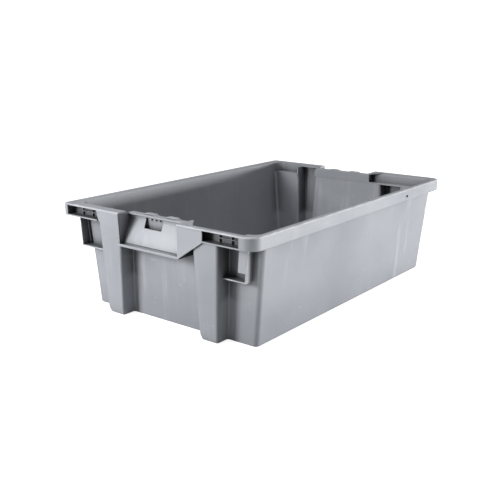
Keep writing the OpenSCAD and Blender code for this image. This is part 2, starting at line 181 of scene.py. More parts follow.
def combine(piece, parts, operation):
    tools = []
    for i, part in enumerate(parts):
        tool = makePiece(f"{piece.name}Tool{i}", [part])
        step = piece.modifiers.new(f"step{i}", "BOOLEAN")
        step.operation = operation
        step.solver = "MANIFOLD"
        step.object = tool
        tools.append(tool)
    settle(piece)
    for tool in tools:
        bpy.data.objects.remove(tool)
    bm = bmesh.new()
    bm.from_mesh(piece.data)
    bmesh.ops.remove_doubles(bm, verts=bm.verts, dist=0.01 * mm)
    bmesh.ops.dissolve_limit(bm, angle_limit=math.radians(0.6), verts=bm.verts, edges=bm.edges)
    bm.to_mesh(piece.data)
    bm.free()


def roundEdges(piece, width, segments=2, angle=35, keep=None):
    # rounds the sharp edges; keep(a, b) names the edges that stay, by their ends in millimetres
    bm = bmesh.new()
    bm.from_mesh(piece.data)
    wear = bm.faces.layers.float.get("wear") or bm.faces.layers.float.new("wear")
    sharp = []
    for edge in bm.edges:
        if len(edge.link_faces) != 2 or edge.calc_face_angle() < math.radians(angle):
            continue
        a, b = (v.co / mm for v in edge.verts)
        if not (keep and keep(a, b)):
            sharp.append(edge)
    made = bmesh.ops.bevel(bm, geom=sharp, offset=width * mm, offset_type="OFFSET", segments=segments,
                           profile=0.5, affect="EDGES", clamp_overlap=True)
    for face in made["faces"]:
        face[wear] = 1.0
    bm.to_mesh(piece.data)
    bm.free()


def finishPiece(piece, nodes, material, sharpAngle=50):
    for face in piece.data.polygons:
        face.use_smooth = True
    piece.data.set_sharp_from_angle(angle=math.radians(sharpAngle))
    even = piece.modifiers.new("evenShading", "WEIGHTED_NORMAL")
    even.keep_sharp = True
    even.weight = 80
    piece.data.materials.clear()
    piece.data.materials.append(material)
    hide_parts(*nodes)
    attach(piece, "root")


def newGroup(name, inputs, outputs):
    group = bpy.data.node_groups.new(name, "ShaderNodeTree")
    kinds = {"float": "NodeSocketFloat", "colour": "NodeSocketColor", "vector": "NodeSocketVector"}
    for label, kind, value in inputs:
        socket = group.interface.new_socket(name=label, in_out="INPUT", socket_type=kinds[kind])
        if value is not None:
            socket.default_value = value
    for label, kind in outputs:
        group.interface.new_socket(name=label, in_out="OUTPUT", socket_type=kinds[kind])
    start = group.nodes.new("NodeGroupInput")
    end = group.nodes.new("NodeGroupOutput")
    return group, start, end


def addNode(tree, kind, settings=None, **values):
    node = tree.nodes.new(kind)
    for key, value in (settings or {}).items():
        setattr(node, key, value)
    for key, value in values.items():
        node.inputs[key].default_value = value
    return node


def ramp(tree, source, low, high, lowValue=0.0, highValue=1.0):
    node = addNode(tree, "ShaderNodeMapRange", {"interpolation_type": "SMOOTHSTEP"})
    tree.links.new(source, node.inputs["Value"])
    limits = {"From Min": low, "From Max": high, "To Min": lowValue, "To Max": highValue}
    for label, value in limits.items():
        node.inputs[label].default_value = value
    return node.outputs["Result"]


def maths(tree, operation, a, b=None):
    node = addNode(tree, "ShaderNodeMath", {"operation": operation})
    for socket, value in zip(node.inputs, (a, b)):
        if value is None:
            continue
        if isinstance(value, (int, float)):
            socket.default_value = value
        else:
            tree.links.new(value, socket)
    return node.outputs[0]


def stretchedNoise(tree, place, stretch, scale, detail, roughness=0.55):
    mapping = addNode(tree, "ShaderNodeMapping")
    mapping.inputs["Scale"].default_value = stretch
    tree.links.new(place, mapping.inputs["Vector"])
    noise = addNode(tree, "ShaderNodeTexNoise")
    for label, value in (("Scale", scale), ("Detail", detail), ("Roughness", roughness)):
        noise.inputs[label].default_value = value
    tree.links.new(mapping.outputs[0], noise.inputs["Vector"])
    return noise.outputs["Fac"]


evenly = (1, 1, 1)
grain = {
    "fineScale": 900, "fineShare": 0.25,
    "mediumScale": 260, "mediumShare": 0.2,
    "swellScale": 11, "swellShare": 8.0, "swellStretch": (1, 1, 1.6),
}


def grainGroup():
    # fine spark-eroded mould texture with a slow swell, as a height
    group, start, end = newGroup(
        "mouldGrain", [("Place", "vector", None), ("Swell", "float", 0.5)], [("Height", "float")])
    place = start.outputs["Place"]
    fine = stretchedNoise(group, place, evenly, grain["fineScale"], 3, 0.6)
    medium = stretchedNoise(group, place, evenly, grain["mediumScale"], 2)
    slow = stretchedNoise(group, place, grain["swellStretch"], grain["swellScale"], 2)
    texture = maths(group, "ADD", maths(group, "MULTIPLY", fine, grain["fineShare"]),
                    maths(group, "MULTIPLY", medium, grain["mediumShare"]))
    swell = maths(group, "MULTIPLY", slow, start.outputs["Swell"])
    swell = maths(group, "MULTIPLY", swell, grain["swellShare"])
    group.links.new(maths(group, "ADD", texture, swell), end.inputs["Height"])
    return group


scuff = {
    "scale": 1.6, "softness": 0.1,
    "lines": (((9, 9, 160), 0.66), ((70, 8, 9), 0.69), ((8, 90, 34), 0.68)),     # stretch, threshold
    "patchScale": 9, "patch": (0.46, 0.62),
}


def scuffGroup():
    # thin rubbed lines in three directions
    group, start, end = newGroup(
        "scuffs", [("Place", "vector", None), ("Amount", "float", 0.5)], [("Mask", "float")])
    place = start.outputs["Place"]
    total = None
    for stretch, low in scuff["lines"]:
        noise = stretchedNoise(group, place, stretch, scuff["scale"], 4, 0.7)
        lines = ramp(group, noise, low, low + scuff["softness"])
        total = lines if total is None else maths(group, "MAXIMUM", total, lines)
    patches = ramp(group, stretchedNoise(group, place, evenly, scuff["patchScale"], 2), *scuff["patch"])
    worn = maths(group, "MULTIPLY", maths(group, "MULTIPLY", total, patches), start.outputs["Amount"])
    group.links.new(worn, end.inputs["Mask"])
    return group


drip = {
    "stretch": (34, 34, 2.2), "scale": 1.5, "streak": (0.5, 0.8),
    "patchStretch": (1, 1, 0.7), "patchScale": 7, "patch": (0.42, 0.68),
    "spotScale": 85, "spot": (0.68, 0.76), "spotShare": 0.35,
}


def dripGroup():
    # dried water and dust: upright streaks that fade, with spots between them
    group, start, end = newGroup(
        "waterMarks", [("Place", "vector", None), ("Amount", "float", 0.5)], [("Mask", "float")])
    place = start.outputs["Place"]
    noise = stretchedNoise(group, place, drip["stretch"], drip["scale"], 3, 0.6)
    streaks = ramp(group, noise, *drip["streak"])
    patches = ramp(group, stretchedNoise(group, place, drip["patchStretch"], drip["patchScale"], 2),
                   *drip["patch"])
    spots = ramp(group, stretchedNoise(group, place, evenly, drip["spotScale"], 2), *drip["spot"])
    streaks = maths(group, "MULTIPLY", streaks, patches)
    spots = maths(group, "MULTIPLY", spots, drip["spotShare"])
    total = maths(group, "MULTIPLY", maths(group, "ADD", streaks, spots), start.outputs["Amount"])
    group.links.new(total, end.inputs["Mask"])
    return group


rubbed = {"scale": 45, "patch": (0.35, 0.65), "least": 0.25}


def edgeGroup():
    # rounded edges rubbed pale, broken up along their length
    inputs = [("Place", "vector", None), ("Wear", "float", 0.0), ("Amount", "float", 0.5)]
    group, start, end = newGroup("edgeWear", inputs, [("Mask", "float")])
    noise = stretchedNoise(group, start.outputs["Place"], evenly, rubbed["scale"], 4)
    broken = ramp(group, noise, *rubbed["patch"], rubbed["least"], 1.0)
    worn = maths(group, "MULTIPLY", start.outputs["Wear"], broken)
    group.links.new(maths(group, "MULTIPLY", worn, start.outputs["Amount"]), end.inputs["Mask"])
    return group


# painted shade in hollows, driven by the AO node
paintedShade = {
    "patchScale": 30, "patchShare": 0.1,
    "unshadedBelow": (0.05, 0.10),       # heights in metres; the painted shade is left off below these heights, near the floor
    "hollow": (0.35, 0.95), "darkest": 0.2,
}


def paintedShadeGroup():
    # painted shade: darkens the colour in hollows, pockets and corners, where the AO node finds walls
    # close by, with patchy noise on top
    inputs = [("Place", "vector", None), ("Open", "float", 1.0)]
    group, start, end = newGroup("paintedShade", inputs, [("Shade", "float")])
    patchy = stretchedNoise(group, start.outputs["Place"], evenly, paintedShade["patchScale"], 3)
    level = addNode(group, "ShaderNodeSeparateXYZ")
    group.links.new(start.outputs["Place"], level.inputs[0])
    low = ramp(group, level.outputs["Z"], *paintedShade["unshadedBelow"], 1.0, 0.0)
    openAboveFloor = maths(group, "MAXIMUM", start.outputs["Open"], low)
    patchyOpen = maths(group, "ADD", openAboveFloor, maths(group, "MULTIPLY", patchy, paintedShade["patchShare"]))
    group.links.new(ramp(group, patchyOpen, *paintedShade["hollow"], paintedShade["darkest"], 1.0), end.inputs["Shade"])
    return group


groups = {
    "grain": grainGroup(), "scuffs": scuffGroup(), "drips": dripGroup(),
    "edges": edgeGroup(), "paintedShade": paintedShadeGroup(),
}
print("shader groups made")


def groupNode(tree, name, place, **values):
    node = addNode(tree, "ShaderNodeGroup", {"node_tree": groups[name]})
    tree.links.new(place, node.inputs["Place"])
    for label, value in values.items():
        node.inputs[label].default_value = value
    return node.outputs[0]


def blendColour(tree, mask, a, b):
    node = addNode(tree, "ShaderNodeMix", {"data_type": "RGBA"})
    tree.links.new(mask, node.inputs["Factor"])
    for label, value in (("A", a), ("B", b)):
        socket = [s for s in node.inputs if s.name == label and s.type == "RGBA"][0]
        if isinstance(value, tuple):
            socket.default_value = (*value, 1)
        else:
            tree.links.new(value, socket)
    return [s for s in node.outputs if s.type == "RGBA"][0]


plastic = {
    "colour": (0.235, 0.245, 0.265),
    "deep": (0.195, 0.205, 0.226),      # slow darker clouds in the pigment
    "pale": (0.50, 0.51, 0.525),        # rubbed edges
    "chalk": (0.37, 0.38, 0.395),       # scuffs and dried water
    "roughness": 0.42, "cloudRoughness": 0.06, "markRoughness": 0.22,
    "cloudStretch": (1, 1, 1.4), "cloudScale": 6, "cloud": (0.3, 0.7),
    "ior": 1.49,
    "grainHeight": 0.00006, "grainStrength": 0.5,     # metres
    "hollow": 0.045,                    # how near, in metres, the walls of a hollow stand, for the painted shade
}


def plasticMaterial(name, scuffs, drips, swell, edges, paintedLightScale=1.0):
    material = bpy.data.materials.new(name)
    material.use_nodes = True
    tree = material.node_tree
    shader = tree.nodes["Principled BSDF"]
    place = addNode(tree, "ShaderNodeTexCoord").outputs["Object"]

    # the scale makes a lighter or darker copy of every tone: painted light
    def tone(key):
        return tuple(paintedLightScale * v for v in plastic[key])

    noise = stretchedNoise(tree, place, plastic["cloudStretch"], plastic["cloudScale"], 3)
    clouds = ramp(tree, noise, *plastic["cloud"])
    colour = blendColour(tree, clouds, tone("deep"), tone("colour"))
    dripMask = groupNode(tree, "drips", place, Amount=drips)
    scuffMask = groupNode(tree, "scuffs", place, Amount=scuffs)
    edgeMask = groupNode(tree, "edges", place, Amount=edges)
    wear = addNode(tree, "ShaderNodeAttribute", {"attribute_name": "wear"})
    tree.links.new(wear.outputs["Fac"], edgeMask.node.inputs["Wear"])
    colour = blendColour(tree, dripMask, colour, tone("chalk"))
    colour = blendColour(tree, scuffMask, colour, tone("chalk"))
    colour = blendColour(tree, edgeMask, colour, tone("pale"))
    # painted shade: the AO factor darkens the base colour in hollows and corners
    hollow = addNode(tree, "ShaderNodeAmbientOcclusion", {"samples": 8}, Distance=plastic["hollow"])
    paintedShade = groupNode(tree, "paintedShade", place)
    tree.links.new(hollow.outputs["AO"], paintedShade.node.inputs["Open"])
    shaded = addNode(tree, "ShaderNodeVectorMath", {"operation": "SCALE"})
    tree.links.new(colour, shaded.inputs[0])
    tree.links.new(paintedShade, shaded.inputs["Scale"])
    tree.links.new(shaded.outputs[0], shader.inputs["Base Color"])
    marks = maths(tree, "ADD", dripMask, scuffMask)
    rough = maths(tree, "ADD", maths(tree, "MULTIPLY", clouds, plastic["cloudRoughness"]),
                  maths(tree, "MULTIPLY", marks, plastic["markRoughness"]))
    tree.links.new(maths(tree, "ADD", rough, plastic["roughness"]), shader.inputs["Roughness"])
    shader.inputs["IOR"].default_value = plastic["ior"]
    bump = addNode(tree, "ShaderNodeBump",
                   Strength=plastic["grainStrength"], Distance=plastic["grainHeight"])
    tree.links.new(groupNode(tree, "grain", place, Swell=swell), bump.inputs["Height"])
    tree.links.new(bump.outputs["Normal"], shader.inputs["Normal"])
    return material


bodyPlastic = plasticMaterial("greyPlasticBody", scuffs=0.8, drips=0.75, swell=1.0, edges=0.35)
rimPlastic = plasticMaterial("greyPlasticRim", scuffs=0.6, drips=0.15, swell=0.3, edges=0.45)
# painted light: this copy of the grey plastic is 12 % lighter, standing in for the stronger light on the
# hood's up-tilted slope; the corner boxes, teeth, lip and right cheek use it too
hoodPlasticLit = plasticMaterial("greyPlasticHoodLit", scuffs=0.6, drips=0.5, swell=0.3, edges=0.6,
                              paintedLightScale=1.12)
print("materials made")


body = {
    "endSetBack": 36.5, "endDraft": 5.5,
    "sideSetBack": 30.0, "sideDraft": 17.0,
    "cornerRadius": 8.0,
    "floorEdge": 2.6,        # fillet under the floor's edge
    "innerEdge": 5.0,        # fillet between the floor and the walls
}
pillar = {
    "fromMiddle": 100.0, "widthLow": 34.0, "widthHigh": 50.0,
    "setBack": 9.5, "gapHigh": 3.0,
    "edgeRadius": 3.6, "rootRadius": 2.2,
    "footHeight": 10.0, "footBevel": 3.0,
}


def endX(z):
    return halfLength - body["endSetBack"] + body["endDraft"] * z / height


def sideY(z, side):
    # outer face of the side wall, as a distance from the centre line
    return halfWidth - body["sideSetBack"] + body["sideDraft"] * z / height - side * crate["bodyShift"]


def pillarX(z):
    return halfLength - mix(pillar["setBack"], pillar["gapHigh"], z / height)


def pillarHalf(z):
    return mix(pillar["widthLow"], pillar["widthHigh"], z / height) / 2


def pillarMid(side):
    # middle of a pillar, as a distance from the centre line on its own side
    return pillar["fromMiddle"] - side * crate["bodyShift"]


def footBevel(z):
    return pillar["footBevel"] * max(0.0, 1 - z / pillar["footHeight"])


def tubPlan(z, inset):
    # the body's outline at a height, drawn in by inset
    x = endX(z) - inset
    front = pillarX(z) - footBevel(z) - inset
    half = pillarHalf(z) - footBevel(z) / 2 - inset
    root = pillar["rootRadius"] + inset
    edge = max(pillar["edgeRadius"] - inset, 0.8)
    corner = max(body["cornerRadius"] - inset, 1.0)
    end = [(x, -(sideY(z, -1) - inset), corner)]
    for side in (-1, 1):
        mid = side * pillarMid(side)
        end += [(x, mid - half, root), (front, mid - half, edge),
                (front, mid + half, edge), (x, mid + half, root)]
    end.append((x, sideY(z, 1) - inset, corner))
    return roundedLoop(end + [(-x, y, r) for x, y, r in reversed(end)])


def makeTub():
    quarter = [math.radians(a) for a in (0, 22, 45, 68, 90)]
    rings = []
    edge = body["floorEdge"]
    for a in quarter:
        z = edge * (1 - math.cos(a))
        rings.append(lift(tubPlan(z, edge * (1 - math.sin(a))), z))
    for z in (pillar["footHeight"], rimLevel / 2, rimLevel):
        rings.append(lift(tubPlan(z, 0), z))
    for z in (rimLevel, rimLevel / 2, pillar["footHeight"] + body["innerEdge"]):
        rings.append(lift(tubPlan(z, wall), z))
    edge = body["innerEdge"]
    for a in reversed(quarter):
        z = crate["floor"] + edge * (1 - math.cos(a))
        rings.append(lift(tubPlan(z, wall + edge * (1 - math.sin(a))), z))
    parts = [loft(rings)]
    for end in (1, -1):
        parts.append(turned(pillarHead(), 1, end))
    tub = makePiece("bodyTub", parts)
    sides = ("left", "right")
    ends = ("front", "back")
    nodes = ["floor_panel"] + [f"long_wall_{s}" for s in sides] + [f"end_wall_{e}" for e in ends]
    nodes += [f"{n}_{s}_{e}" for n in ("corner_panel", "corner_post", "pillar", "foot")
              for s in sides for e in ends]
    finishPiece(tub, nodes, bodyPlastic)
    print("tub made", len(tub.data.polygons), "faces")


def pillarHead():
    # the left pillar's last stretch, which goes on up behind the rim
    def ring(z):
        mid, half = pillarMid(1), pillarHalf(z)
        back, front = endX(rimLevel) - wall, pillarX(z)
        r, inner = pillar["edgeRadius"], pillar["edgeRadius"] - wall
        return lift(roundedLoop([
            (back, mid - half, 0), (front, mid - half, r),
            (front, mid + half, r), (back, mid + half, 0),
            (back, mid + half - wall, 0), (front - wall, mid + half - wall, inner),
            (front - wall, mid - half + wall, inner), (back, mid - half + wall, 0)]), z)
    return loft([ring(rimLevel), ring(rim["flangeUnder"] + sink)])


rim = {
    "flangeUnder": height - 5.0,      # underside of the end flange
    "sideUnder": height - 2.6,        # underside of the side flange
    "skirt": 2.5,
    "endWidth": 17.5,
    "radius": {1: 9.0, -1: 20.0},
    "openingRadius": 15.0,
    "plate": 2.2,
    "topRound": 2.2, "edgeRound": 0.6, "near": 0.1, "seamReach": 0.3,
    "overcut": 1.5, "past": 2.0, "inward": 3.0,      # how far cutters run past what they cut
    "notchX": 25.0, "notchW": 6.0, "notchD": 1.6,
    "slotX": 156.0, "slotL": 7.0, "slotH": 4.0, "slotDrop": 12.5,
    "bevelWidth": 8.0, "bevelDepth": 3.5,     # along the inner edge of the right-hand end rim
}
pocket = {
    "gap": {1: 9.0, -1: 23.0},        # from the rim's side to the pocket's outer end
    "frame": 3.2, "ribs": 2, "rib": 1.3, "mouth": 12.0, "ceiling": 2.6,
}
recess = {
    "right": 57.5, "depth": 22.0, "drop": 2.5, "plate": 2.6,
    "returnWidth": 6.0, "returnLength": 4.0, "spread": 24.0,     # flat top beside the recess
    "bevelFrom": 17.0,
}
openingX = halfLength - rim["endWidth"]


def openingY(side, z):
    return sideY(z, side) - wall


def pocketOut(side):
    return halfWidth - pocket["gap"][side]


def pocketIn(side):
    return pillarMid(1) + pillarHalf(rim["flangeUnder"]) if side > 0 else pillarMid(-1) - 1


def recessSide(z):
    # left side of the hand recess: the pillar's inner side
    return pillarMid(1) - pillarHalf(z)


cornerOrder = ((1, -1), (1, 1), (-1, 1), (-1, -1))     # end and side of each corner in turn


def rimOutline():
    return roundedLoop([(end * halfLength, side * halfWidth, rim["radius"][side])
                        for end, side in cornerOrder], 10)


def openingOutline(z):
    return roundedLoop([(end * openingX, side * openingY(side, z), rim["openingRadius"])
                        for end, side in cornerOrder], 8)


def underFlange(side):
    # the space between the wall and the skirt, and round the corner behind it
    low, high = rimLevel - rim["overcut"], rim["sideUnder"]
    out = pocketOut(side)
    inset = halfLength - rim["skirt"]
    sideIn = halfWidth - rim["skirt"]

    def ring(z):
        grown = rim["openingRadius"] + wall
        centre = Vector((openingX - rim["openingRadius"], openingY(side, z) - rim["openingRadius"]))
        behind = side < 0
        startX = openingX + wall if behind else openingX
        first = math.acos(min(1.0, (startX - centre.x) / grown))
        arc = [centre + grown * Vector((math.cos(a), math.sin(a)))
               for a in (mix(first, math.pi / 2, k / 8) for k in range(9))]
        outer = roundedLoop([(inset, out, 0), (inset, sideIn, rim["radius"][side] - rim["skirt"]),
                             (0, sideIn, 0)], 8)[:-1]
        half = [Vector((startX, out))] + outer
        end = half[::-1] + arc                       # from the middle of the skirt back to the wall
        mirrored = [Vector((-p.x, p.y)) for p in end[::-1]]
        return lift(end + mirrored, z)
    return turned(loft([ring(low), ring(high)]), side)


def pocketCuts(side):
    # a shallow mouth, and behind it the cells between the ribs
    y0, y1 = pocketIn(side), pocketOut(side) - pocket["frame"]
    z0, z1 = rimLevel + rim["plate"], rim["flangeUnder"]
    mouthX = halfLength - pocket["mouth"]
    backX = openingX + rim["plate"]
    columns = pocket["ribs"] + 1
    pitch = (y1 - y0) / columns
    cuts = [block((mouthX, y0, z0), (halfLength + rim["overcut"], y1, height - pocket["ceiling"]))]
    middle = (z0 + z1) / 2
    for i in range(columns):
        left = y0 + i * pitch + (pocket["rib"] / 2 if i else 0)
        right = y0 + (i + 1) * pitch - (pocket["rib"] / 2 if i < columns - 1 else 0)
        levels = [(z0, middle - pocket["rib"] / 2), (middle + pocket["rib"] / 2, z1)]
        if i == (columns - 1 if side > 0 else 0):
            levels = [(z0, z1)]
        for low, high in levels:
            cuts.append(block((backX, left, low), (mouthX + sink, right, high)))
    return [turned(cut, side) for cut in cuts]


def makeRim():
    frameRim = makePiece("rimFrame", [upright(rimOutline(), rimLevel, height)])
    low, high = rimLevel - rim["overcut"], height + rim["overcut"]
    cuts = [loft([lift(openingOutline(low), low), lift(openingOutline(high), high)])]
    cuts += [underFlange(1), underFlange(-1)]
    far = halfLength + rim["overcut"]
    ends = []
    for side in (1, -1):
        ends += pocketCuts(side)
    # the hand recess, and the room for the left pillar's head
    inside, past = openingX - rim["past"], rim["past"]
    ends.append(alongY([(inside, low), (far, low), (far, high), (inside, high)],
                       -recess["right"], recessSide))
    ends.append(block((inside, recessSide(rimLevel) - rim["inward"], low),
                      (far, pocketIn(1), rim["flangeUnder"])))
    # the room behind the right cheek
    ends.append(turned(block((openingX + rim["plate"], recess["right"] - rim["inward"], low),
                             (far, pocketIn(-1), rim["flangeUnder"])), -1))
    # the bevel along the right-hand end rim
    front, foot = openingX + rim["bevelWidth"], height - rim["bevelDepth"]
    beveled = [(inside, foot), (openingX, foot), (front, height), (front, high), (inside, high)]
    ends.append(alongY(beveled, -pocketOut(-1), -recess["right"] - recess["bevelFrom"]))
    cuts += ends + [turned(cut, 1, -1) for cut in ends]
    # two notches in the right-hand rim's top, and a slot in its skirt
    top = openingY(-1, height)
    for k in (-1, 1):
        x, half = k * rim["notchX"], rim["notchW"] / 2
        cuts.append(turned(block((x - half, top - past, height - rim["notchD"]),
                                 (x + half, top + wall, high)), -1))
    x, z = rim["slotX"], height - rim["slotDrop"]
    half, tall = rim["slotL"] / 2, rim["slotH"] / 2
    cuts.append(turned(block((x - half, halfWidth - rim["skirt"] - past / 2, z - tall),
                             (x + half, halfWidth + past, z + tall)), -1))
    combine(frameRim, cuts, "DIFFERENCE")

    def onOutline(p):
        r = rim["radius"][1 if p.y > 0 else -1]
        away = Vector((abs(p.x) - halfLength + r, abs(p.y) - halfWidth + r))
        rounded = away.x > 0 and away.y > 0 and abs(away.length - r) < 2 * rim["near"]
        return rounded or abs(p.x) > halfLength - rim["near"] or abs(p.y) > halfWidth - rim["near"]

    def notTopOuter(a, b):
        # every edge but the outer one along the top
        return not all(p.z > height - rim["near"] and onOutline(p) for p in (a, b))

    def seam(a, b):
        # edges where the rim stands on the tub's wall
        return all(p.z < rimLevel + rim["near"] / 2 and abs(p.x) < openingX + sink
                   and abs(p.y) < sideY(rimLevel, 1 if p.y > 0 else -1) + rim["seamReach"] for p in (a, b))

    roundEdges(frameRim, rim["topRound"], 3, 50, notTopOuter)
    roundEdges(frameRim, rim["edgeRound"], 2, 50, seam)
    sides, ends = ("left", "right"), ("front", "back")
    nodes = [f"long_rim_{s}" for s in sides]
    nodes += [f"{n}_{s}_{e}" for n in ("rim_corner", "rim_pocket", "rim_bridge")
              for s in sides for e in ends]
    finishPiece(frameRim, nodes, rimPlastic)
    print("rim made", len(frameRim.data.polygons), "faces")


def quarterArc(centreX, centreY, radius):
    # from +X to +Y
    return [Vector((centreX + radius * math.cos(a), centreY + radius * math.sin(a)))
            for a in (math.radians(15 * k) for k in range(7))]


ledge = {"edgeRound": 0.5, "lap": 1.0, "lidGap": 0.2, "lidLap": 0.3}


def makeLedges():
    # the step between the end walls and the wider rim above them
    parts = []
    back = endX(rimLevel) - wall
    low, high = rimLevel - hair, rimLevel + rim["plate"]
    for side, start in ((1, pillarMid(1) + pillarHalf(rimLevel) - ledge["lap"]), (-1, recess["right"])):
        r = body["cornerRadius"] - wall
        inner = quarterArc(back - r, sideY(rimLevel, side) - wall - r, r)
        r = rim["openingRadius"]
        outer = quarterArc(openingX - r, openingY(side, rimLevel) - r, r + ledge["lap"])
        loop = [Vector((back, start))] + inner + outer[::-1] + [Vector((openingX + ledge["lap"], start))]
        parts.append(turned(upright(loop, low, high), side))
    # flat top of the return beside the hand recess
    near, front = recess["right"], openingX + rim["bevelWidth"]
    narrow = near + recess["returnWidth"]
    top = [(back, near), (front, near), (front, near + recess["spread"]),
           (back + recess["returnLength"], narrow), (back, narrow - ledge["lap"])]
    parts.append(turned(upright(top, height - recess["plate"], height - hair / 2), -1))
    # lid over the right pillar, behind the cheek
    parts.append(turned(block(
        (openingX + sink, pillarMid(-1) - pillarHalf(rimLevel) + ledge["lidGap"], low),
        (pillarX(rimLevel) - ledge["lidLap"], pocketIn(-1) + ledge["lidLap"], high)), -1))
    parts += [turned(part, 1, -1) for part in parts]
    piece = makePiece("rimLedges", parts)
    roundEdges(piece, ledge["edgeRound"], 2, 50)
    finishPiece(piece, [], rimPlastic)


cornerBox = {
    "height": 54.0, "setBack": 18.0,
    "gap": {1: 19.0, -1: 24.0}, "lean": 4.0, "thickness": 2.2, "plate": 2.0,
    "lap": 6.0, "stripShare": 0.32, "strip": 2.0, "stripGap": 15.0,
    "edgeRound": 0.7,
}


def makeCornerBoxes():
    z0 = rimLevel - cornerBox["height"]
    x1 = halfLength - cornerBox["setBack"]
    t = cornerBox["thickness"]
    for side, sideName in ((1, "Left"), (-1, "Right")):
        def out(z):
            lean = cornerBox["lean"] * (rimLevel - z) / cornerBox["height"]
            return halfWidth - cornerBox["gap"][side] - lean

        def inner(z):
            return out(z) - cornerBox["plate"]

        def mouth(z):
            return pillarMid(side) + pillarHalf(z)

        def plate(z):
            back = endX(z) - sink
            return lift([(back, inner(z)), (x1, inner(z)), (x1, out(z)), (back, out(z))], z)

        def lap(z):
            # the left plate runs on along the side wall
            back, front = endX(z) - body["cornerRadius"] - cornerBox["lap"], endX(z) + sink
            near, outer = sideY(z, 1), out(z) - hair
            return lift([(back, near), (front, near), (front, outer), (back, outer)], z)

        def shelf(z):
            back, near, outer = endX(z) - sink, mouth(z) - sink, inner(z) + sink
            return lift([(back, near), (x1, near), (x1, outer), (back, outer)], z)

        def strip(z):
            back, near = x1 - cornerBox["strip"], mix(inner(z), mouth(z), cornerBox["stripShare"])
            outer = inner(z) + sink
            return lift([(back, near), (x1, near), (x1, outer), (back, outer)], z)

        top = rimLevel + sink
        parts = [loft([plate(z0), plate(top)]), loft([shelf(z0), shelf(z0 + t)])]
        if side < 0:
            parts.append(loft([strip(z0 + cornerBox["stripGap"]), strip(top)]))
        else:
            parts.append(loft([lap(z0), lap(top)]))
        for end, endName in ((1, "Back"), (-1, "Front")):
            piece = makePiece(f"cornerBox{sideName}{endName}",
                              [turned(part, side, end) for part in parts])
            roundEdges(piece, cornerBox["edgeRound"], 2, 50)
            finishPiece(piece, [f"corner_box_{sideName.lower()}_{endName.lower()}"], hoodPlasticLit)
    print("corner boxes made")


hood = {
    "height": 52.0, "thickness": 2.5,
    "panelDrop": 12.0, "panelTop": 28.0, "panelLow": 12.5,
    "gutter": 2.5, "lip": 1.6,
    "sideLap": 0.6, "topLap": 0.4, "lowLap": 0.3, "edgeRound": 0.5, "crease": 0.5,
    "windowW": 37.0, "windowY": 14.5, "windowH": 16.0, "windowRise": 4.0,
    "teeth": 3, "toothH": 3.0, "toothW": 3.5,
    "lugW": 28.0, "lugPitch": 46.0, "lugReach": 5.0,
    "cheek": 2.6, "cheekRound": 0.7, "cheekTop": 2.5, "cheekSet": 0.6, "cheekLap": 0.1,
    "panelGap": 0.2,
}
tooth = {"root": 0.6, "tip": 0.8, "inner": 0.3, "outer": 0.2, "edgeRound": 0.3}


def hoodSide(z):
    # where the hood's parts end against the left cheek
    return recessSide(z) + hood["sideLap"]


def makeRecessRim(end, endName):
    back = endX(rimLevel) - wall
    front = halfLength - recess["depth"]
    top = height - recess["drop"]
    under = top - recess["plate"]
    profile = roundedLoop([
        (back, rimLevel - hair, 0), (back + wall, rimLevel - hair, 0), (back + wall, under, 1.2),
        (front, under, 0.5), (front, top, 1.0), (back, top, 0.9)], 4)
    parts = [alongY(profile, -recess["right"] - hood["sideLap"], hoodSide)]
    for k in (-1, 1):
        mid = k * hood["lugPitch"] / 2
        half, slope = hood["lugW"] / 2, 2 * recess["drop"]
        foot = top - hood["sideLap"]
        lug = roundedLoop([(mid - half, foot, 0), (mid + half, foot, 0),
                           (mid + half - slope, height, 3.0), (mid - half + slope, height, 3.0)], 4)
        parts.append(alongX(lug, back + hair, back + wall + hood["lugReach"]))
    piece = makePiece(f"recessRim{endName}", [turned(part, 1, end) for part in parts])
    roundEdges(piece, hood["edgeRound"], 2, 60)
    finishPiece(piece, [f"recess_rim_{endName.lower()}"], rimPlastic)


def makeHoodPanel(end, endName):
    top = height - recess["drop"] - recess["plate"] + hood["topLap"]
    xTop = halfLength - hood["panelTop"]
    xLow = halfLength - hood["panelLow"]
    bend = height - hood["panelDrop"]
    low = height - hood["height"] + hood["gutter"]
    t = hood["thickness"]
    across = t / math.cos(math.atan2(xLow - xTop, bend - low))
    foot = low - hood["lowLap"]
    profile = roundedLoop([
        (xTop - t, top, 0), (xTop - t, bend, 2.0), (xLow - across, foot, 0), (xLow, foot, 0),
        (xTop, bend, 3.5), (xTop, top, 0)], 4)
    plate = alongY(profile, -recess["right"] + hood["panelGap"], hoodSide)
    panel = makePiece(f"hoodPanel{endName}", [turned(plate, 1, end)])
    left, right = hood["windowY"] - hood["windowW"] / 2, hood["windowY"] + hood["windowW"] / 2
    sill = bend + hood["windowRise"] - hood["windowH"]
    head = bend + hood["windowRise"]
    windowLoop = roundedLoop([(left, sill, 1.5), (right, sill, 1.5),
                              (right, head, 1.0), (left, head, 1.0)], 4)
    cut = turned(alongX(windowLoop, xTop - 2 * t, xLow), 1, end)
    combine(panel, [cut], "DIFFERENCE")
    roundEdges(panel, hood["edgeRound"], 2, 50)
    pitch = hood["windowW"] / (hood["teeth"] + 1)
    teeth = []
    for i in range(1, hood["teeth"] + 1):
        a, b = left + i * pitch - hood["toothW"] / 2, left + i * pitch + hood["toothW"] / 2
        root, tip = head + tooth["root"], head - hood["toothH"]
        loop = roundedLoop([(a, root, 0), (a, tip, tooth["tip"]), (b, tip, tooth["tip"]), (b, root, 0)], 3)
        teeth.append(turned(alongX(loop, xTop - t + tooth["inner"], xTop - tooth["outer"]), 1, end))
    toothPiece = makePiece(f"windowTeeth{endName}", teeth)
    roundEdges(toothPiece, tooth["edgeRound"], 2, 50)
    finishPiece(toothPiece, [], hoodPlasticLit)
    finishPiece(panel, [f"hood_panel_{endName.lower()}"], hoodPlasticLit)


